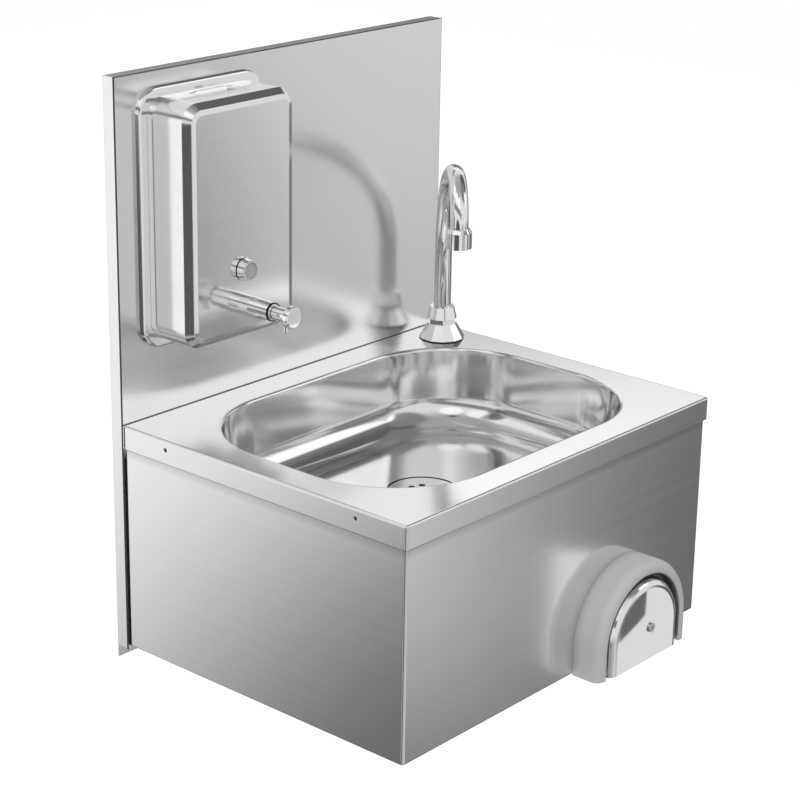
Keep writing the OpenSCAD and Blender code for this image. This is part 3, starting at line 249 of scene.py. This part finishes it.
def card(name, outline, gap, glow):
    """A flat piece of studio that only mirrors see."""
    across = Vector((0, 0, 1)).cross(CARD_FACING).normalized()
    up = CARD_FACING.cross(across).normalized()
    points = [CARD_PLACE + across * u + up * v + CARD_FACING * gap for u, v in outline]
    piece = add_mesh(name, points)
    for kind in ("camera", "diffuse", "shadow", "transmission"):
        setattr(piece, "visible_" + kind, False)
    look = bpy.data.materials.new(name)
    look.use_nodes = True
    shader = principled(look)
    shader["Base Color"].default_value = (0, 0, 0, 1)
    shader["Emission Color"].default_value = (1, 1, 1, 1)
    shader["Emission Strength"].default_value = glow
    piece.data.materials.append(look)


card("knee_card", CARD_OUTLINE, 0, CARD_GLOW)
card("knee_flag", FLAG_OUTLINE, FLAG_GAP, FLAG_GLOW)


# Materials

METAL, PLAIN = 1.0, 0.0


def material(name, color, metallic, roughness):
    m = bpy.data.materials.new(name)
    m.use_nodes = True
    principled(m)["Base Color"].default_value = (*color, 1)
    principled(m)["Metallic"].default_value = metallic
    principled(m)["Roughness"].default_value = roughness
    return m


# The middle part of the noise, over which a roughness or a colour goes from one end to the other
NOISE_LOW, NOISE_HIGH = 0.35, 0.65
NOISE_ROUGHNESS = 0.5


def noise(m, scale, stretch=(1, 1, 1), detail=3.0):
    """Noise in the object's own coordinates; a large stretch makes fine lines across that axis."""
    tree = m.node_tree
    place = tree.nodes.new("ShaderNodeMapping")
    place.inputs["Scale"].default_value = stretch
    n = tree.nodes.new("ShaderNodeTexNoise")
    n.inputs["Scale"].default_value = scale
    n.inputs["Detail"].default_value = detail
    n.inputs["Roughness"].default_value = NOISE_ROUGHNESS
    link(tree, object_place(tree), place.inputs["Vector"])
    link(tree, place.outputs[0], n.inputs["Vector"])
    return n.outputs["Fac"]


def vary_roughness(m, source, low, high):
    tree = m.node_tree
    link(tree, remap(tree, source, NOISE_LOW, NOISE_HIGH, low, high), principled(m)["Roughness"])


def mix_colors(m, share, first, second):
    """Sets the base colour: the first colour where share is 0 and the second where it is 1."""
    tree = m.node_tree
    mix = tree.nodes.new("ShaderNodeMix")
    mix.data_type = "RGBA"
    link(tree, share, mix.inputs["Factor"])
    set_or_link(tree, first, mix.inputs[6])
    set_or_link(tree, second, mix.inputs[7])
    link(tree, mix.outputs[2], principled(m)["Base Color"])


def vary_color(m, source, dark, light):
    mix_colors(m, remap(m.node_tree, source, NOISE_LOW, NOISE_HIGH, 0, 1), (*dark, 1), (*light, 1))


EDGE_SAMPLES = 6
GAP_SAMPLES = 8


def bump(m, source, strength, distance, edge=0):
    """Fine relief, over edges that look rounded by the radius edge."""
    tree = m.node_tree
    n = tree.nodes.new("ShaderNodeBump")
    n.inputs["Strength"].default_value = strength
    n.inputs["Distance"].default_value = distance
    if edge:
        round_edge = tree.nodes.new("ShaderNodeBevel")
        round_edge.samples = EDGE_SAMPLES
        round_edge.inputs["Radius"].default_value = edge
        link(tree, round_edge.outputs[0], n.inputs["Normal"])
    link(tree, source, n.inputs["Height"])
    link(tree, n.outputs[0], principled(m)["Normal"])


def through(m, mask, dark=(0.01, 0.01, 0.01)):
    """Keeps the base colour where the mask is 1 and darkens it where the mask is 0."""
    socket = principled(m)["Base Color"]
    own = socket.links[0].from_socket if socket.links else tuple(socket.default_value)
    mix_colors(m, mask, (*dark, 1), own)


def paint_gap_shade(m, reach=0.005, low=0.22, high=0.45):
    """Painted shade from ambient occlusion: black where less of the view around is open than low,
    fading out at high.
    """
    shade = m.node_tree.nodes.new("ShaderNodeAmbientOcclusion")
    shade.samples = GAP_SAMPLES
    shade.inputs["Distance"].default_value = reach
    through(m, remap(m.node_tree, shade.outputs["AO"], low, high, 0, 1))


def outside_band(m, axis, low, high):
    """A mask that is 0 between two planes across an axis of the object, and 1 elsewhere."""
    tree = m.node_tree
    place = split_vector(tree, object_place(tree))[axis]
    above = value_math(tree, "GREATER_THAN", place, low)
    below = value_math(tree, "LESS_THAN", place, high)
    return value_math(tree, "SUBTRACT", 1.0, value_math(tree, "MULTIPLY", above, below))


def lean_normals(m, lean):
    """Tilts the surface towards a direction, as a rolled edge does."""
    tree = m.node_tree
    leaned = vector_math(tree, "ADD", facing(tree), lean)
    link(tree, vector_math(tree, "NORMALIZE", leaned), principled(m)["Normal"])


def smooth_basin(m, centre, corner_x, corner_y, bend_top):
    """Shades the inside of a drawn basin as one smooth surface: straight walls, round corners about
    points corner_x and corner_y from the centre, and a bend to the floor below bend_top."""
    tree = m.node_tree
    place = object_place(tree)
    offset = vector_math(tree, "SUBTRACT", place, centre)
    beyond = vector_math(tree, "ABSOLUTE", offset)
    beyond = vector_math(tree, "SUBTRACT", beyond, (corner_x, corner_y, ABOVE_ALL))
    beyond = vector_math(tree, "MAXIMUM", beyond, (0.0, 0.0, 0.0))
    outwards = vector_math(tree, "MULTIPLY", beyond, vector_math(tree, "SIGN", offset))
    outwards = vector_math(tree, "NORMALIZE", outwards)
    height = split_vector(tree, place)["Z"]
    rise = remap(tree, height, bend_top - BASIN_BEND, bend_top, 1, 0)
    rise = value_math(tree, "MAXIMUM", rise, BASIN_DRAFT)
    squared = value_math(tree, "MULTIPLY", rise, rise)
    level = value_math(tree, "SQRT", value_math(tree, "SUBTRACT", 1.0, squared))
    inwards = vector_math(tree, "SCALE", outwards, value_math(tree, "MULTIPLY", level, -1.0))
    up = tree.nodes.new("ShaderNodeCombineXYZ")
    link(tree, rise, up.inputs["Z"])
    smooth = vector_math(tree, "ADD", inwards, up.outputs[0])
    own = facing(tree)
    inside = value_math(tree, "GREATER_THAN", split_vector(tree, own)["Z"], BASIN_DRAFT / 3)
    below_lip = value_math(tree, "LESS_THAN", height, BASIN_LIP)
    mix = tree.nodes.new("ShaderNodeMix")
    mix.data_type = "VECTOR"
    link(tree, value_math(tree, "MULTIPLY", inside, below_lip), mix.inputs["Factor"])
    link(tree, own, mix.inputs[4])
    link(tree, smooth, mix.inputs[5])
    link(tree, mix.outputs[1], principled(m)["Normal"])


BRUSH_STRENGTH = 0.1
BRUSH_DEPTH = 0.0000015
BRUSH_SPREAD = 0.008
BRUSH_SHADE = 0.975


def brushed(name, color, roughness, stretch, edge):
    """Satin sheet with fine parallel brush lines, and painted shade in narrow gaps."""
    m = material(name, color, METAL, roughness)
    lines = noise(m, 1.0, stretch, 2.0)
    vary_roughness(m, lines, roughness - BRUSH_SPREAD, roughness + BRUSH_SPREAD)
    vary_color(m, lines, tuple(c * BRUSH_SHADE for c in color), color)
    bump(m, lines, BRUSH_STRENGTH, BRUSH_DEPTH, edge)
    # Painted shade: black in narrow gaps, from ambient occlusion
    paint_gap_shade(m)
    return m


def varied(name, color, metallic, scale, low, high):
    """A material whose roughness goes from low to high with noise of the scale given."""
    m = material(name, color, metallic, (low + high) / 2)
    vary_roughness(m, noise(m, scale), low, high)
    return m


# Brush lines: how much the noise is stretched along X, Y and Z
ALONG_X = (4, 1600, 1600)
LEVEL = (4, 4, 1600)

STEEL = (0.86, 0.865, 0.87)
DEEP_DRAWN = (0.84, 0.845, 0.85)
SHEET = 0.0012
SEAM_SHADOW_WIDTH = 0.0012
EDGE_SHADE_WIDTH = 0.0004
EDGE_SHADE_COLOR = (0.08, 0.08, 0.08)
BEYOND = 1  # past any face of the object

# Splashback with painted shade along its edges, and painted shadow in the seam between it and the
# wall pan
sheet = brushed("satin_sheet", STEEL, 0.2, LEVEL, 0.0006)
pan_sheet = brushed("satin_pan", STEEL, 0.2, LEVEL, 0.0006)
splash_low, splash_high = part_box("splashback")
seam_front = splash_low[1] + SHEET
# Painted shadow: a black band on the wall pan in the seam behind the splashback
through(pan_sheet, outside_band(pan_sheet, "Y", seam_front, seam_front + SEAM_SHADOW_WIDTH))
# Painted shade: a near-black line along the splashback's sides and top edge
for axis, low, high in (("X", -BEYOND, splash_low[0] + EDGE_SHADE_WIDTH),
                        ("X", splash_high[0] - EDGE_SHADE_WIDTH, BEYOND),
                        ("Z", splash_high[2] - EDGE_SHADE_WIDTH, BEYOND)):
    through(sheet, outside_band(sheet, axis, low, high), EDGE_SHADE_COLOR)

# Cabinet with painted shadow in the gap behind it and painted shade below the rim
SHADOW_GAP = 0.002
RIM_SHADE = 0.009
RIM_SHADE_COLOR = (0.6, 0.6, 0.6)
box_sheet = brushed("satin_box", STEEL, 0.15, LEVEL, 0.001)
cabinet_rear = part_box("cabinet")[1][1]
# Painted shadow: black along the cabinet's rear edge, in the gap behind it
through(box_sheet, outside_band(box_sheet, "Y", cabinet_rear - SHADOW_GAP, BEYOND))
rim_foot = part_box("worktop")[0][2]
box_tree = box_sheet.node_tree
box_height = split_vector(box_tree, object_place(box_tree))["Z"]
below_rim = remap(box_tree, box_height, rim_foot - RIM_SHADE, rim_foot, 1, 0)
through(box_sheet, below_rim, RIM_SHADE_COLOR)

case_sheet = brushed("satin_case", STEEL, 0.13, LEVEL, 0.0008)
top_sheet = brushed("satin_top", STEEL, 0.15, ALONG_X, 0.001)
polished = varied("polished_steel", (0.84, 0.85, 0.86), METAL, 30, 0.08, 0.13)

# Bowl
BASIN_CORNER = 0.092
BASIN_FLOOR = -0.072
BASIN_BEND = 0.03
BASIN_DRAFT = 0.095
BASIN_LIP = -0.0045
ABOVE_ALL = 1.0  # leaves the height out of the distance from the corners
drawn = varied("drawn_steel", DEEP_DRAWN, METAL, 30, 0.1, 0.13)
basin_low, basin_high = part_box("bowl")
basin_x, basin_y = [(basin_low[i] + basin_high[i]) / 2 for i in (0, 1)]
basin_half = (basin_high - basin_low) / 2
smooth_basin(drawn, (basin_x, basin_y, 0.0), basin_half[0] - BASIN_CORNER,
             basin_half[1] - BASIN_CORNER, BASIN_FLOOR + BASIN_BEND)

# Flange of the dispenser's back
ROLLED_LEAN = (0.0, -0.625, 0.16)
rolled = varied("rolled_steel", DEEP_DRAWN, METAL, 60, 0.07, 0.1)
lean_normals(rolled, ROLLED_LEAN)

mirror = varied("mirror_steel", STEEL, METAL, 60, 0.03, 0.05)
# Painted shade: black in narrow gaps round the knee plate, from ambient occlusion
paint_gap_shade(mirror)
chrome = varied("chrome_plate", (0.9, 0.9, 0.91), METAL, 60, 0.02, 0.05)
fixing = varied("plain_fixing", (0.62, 0.63, 0.64), METAL, 250, 0.22, 0.36)
brass = varied("machined_brass", (0.75, 0.56, 0.27), METAL, 300, 0.2, 0.36)
copper = varied("copper_tube", (0.78, 0.42, 0.27), METAL, 80, 0.22, 0.4)

# Pump seal: bright inside a dark ring about the pump's axis, which runs along Y
SEAL_RING = 0.007
ACROSS_PUMP = (1.0, 0.0, 1.0)
seal = varied("seal_face", (0.8, 0.8, 0.8), METAL, 300, 0.2, 0.3)
seal_tree = seal.node_tree
seal_low, seal_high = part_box("pump_seal")
seal_centre = tuple((seal_low + seal_high) / 2)
from_axis = vector_math(seal_tree, "SUBTRACT", object_place(seal_tree), seal_centre)
from_axis = vector_math(seal_tree, "MULTIPLY", from_axis, ACROSS_PUMP)
ring_distance = vector_math(seal_tree, "LENGTH", from_axis)
through(seal, value_math(seal_tree, "LESS_THAN", ring_distance, SEAL_RING))

rubber = material("black_rubber", (0.02, 0.02, 0.02), PLAIN, 0.75)
bump(rubber, noise(rubber, 900), strength=0.2, distance=0.0001)
grey = material("grey_moulding", (0.46, 0.46, 0.465), PLAIN, 0.4)
vary_color(grey, noise(grey, 14), (0.445, 0.445, 0.45), (0.475, 0.475, 0.48))
bump(grey, noise(grey, 1400), strength=0.15, distance=0.00004)
# Painted shade: black in the gaps round the knee housing, from ambient occlusion
paint_gap_shade(grey, reach=0.02, low=0.3, high=0.6)
white_plastic = varied("white_moulding", (0.8, 0.8, 0.78), PLAIN, 40, 0.3, 0.42)
dark_plastic = varied("dark_moulding", (0.03, 0.03, 0.032), PLAIN, 200, 0.38, 0.52)
window = material("clear_window", (0.35, 0.37, 0.38), PLAIN, 0.04)
principled(window)["Coat Weight"].default_value = 1.0

# The nodes that wear each material
LOOKS = {
    sheet: ("splashback",),
    pan_sheet: ("wall_pan",),
    box_sheet: ("cabinet",),
    case_sheet: ("dispenser_body", "dispenser_lid"),
    top_sheet: ("worktop",),
    drawn: ("bowl",),
    rolled: ("dispenser_back",),
    mirror: ("knee_plate",),
    polished: ("waste_strainer",),
    chrome: ("tap_base", "tap_collar", "spout", "aerator_sleeve", "sight_bezel", "pump_sleeve",
             "pump_head"),
    fixing: ("frame_screws", "frame_nuts", "waste_screw", "tap_washer", "housing_screws",
             "plate_screw", "valve_spindle", "valve_spring", "dispenser_hanger", "hanger_screws",
             "hanger_nuts", "lid_pin", "lid_lock", "pump_spring"),
    brass: ("tap_nut", "supply_nuts", "valve_body", "valve_nut", "valve_cap", "inlet_tails",
            "pump_nut"),
    copper: ("supply_tube",),
    rubber: ("waste_gasket", "waste_washer", "tap_gasket", "spout_orings", "seat_disc",
             "spindle_seal", "valve_washer", "sight_gasket", "pump_gasket"),
    seal: ("pump_seal",),
    grey: ("knee_housing",),
    white_plastic: ("waste_tail", "pump_piston"),
    dark_plastic: ("aerator_insert", "sight_nut"),
    window: ("sight_lens",),
}
for look, names in LOOKS.items():
    for name in names:
        for slot in nodes[name].material_slots:
            slot.material = look

# The floor glows for the camera alone, so that it looks white and keeps the object's shadow
floor_look = varied("pale_floor", (0.9, 0.9, 0.9), PLAIN, 2, 0.85, 0.95)
floor_tree = floor_look.node_tree
camera_ray = floor_tree.nodes.new("ShaderNodeLightPath").outputs["Is Camera Ray"]
principled(floor_look)["Emission Color"].default_value = (1, 1, 1, 1)
link(floor_tree, value_math(floor_tree, "MULTIPLY", camera_ray, FLOOR_GLOW),
     principled(floor_look)["Emission Strength"])
studio_floor.data.materials.append(floor_look)
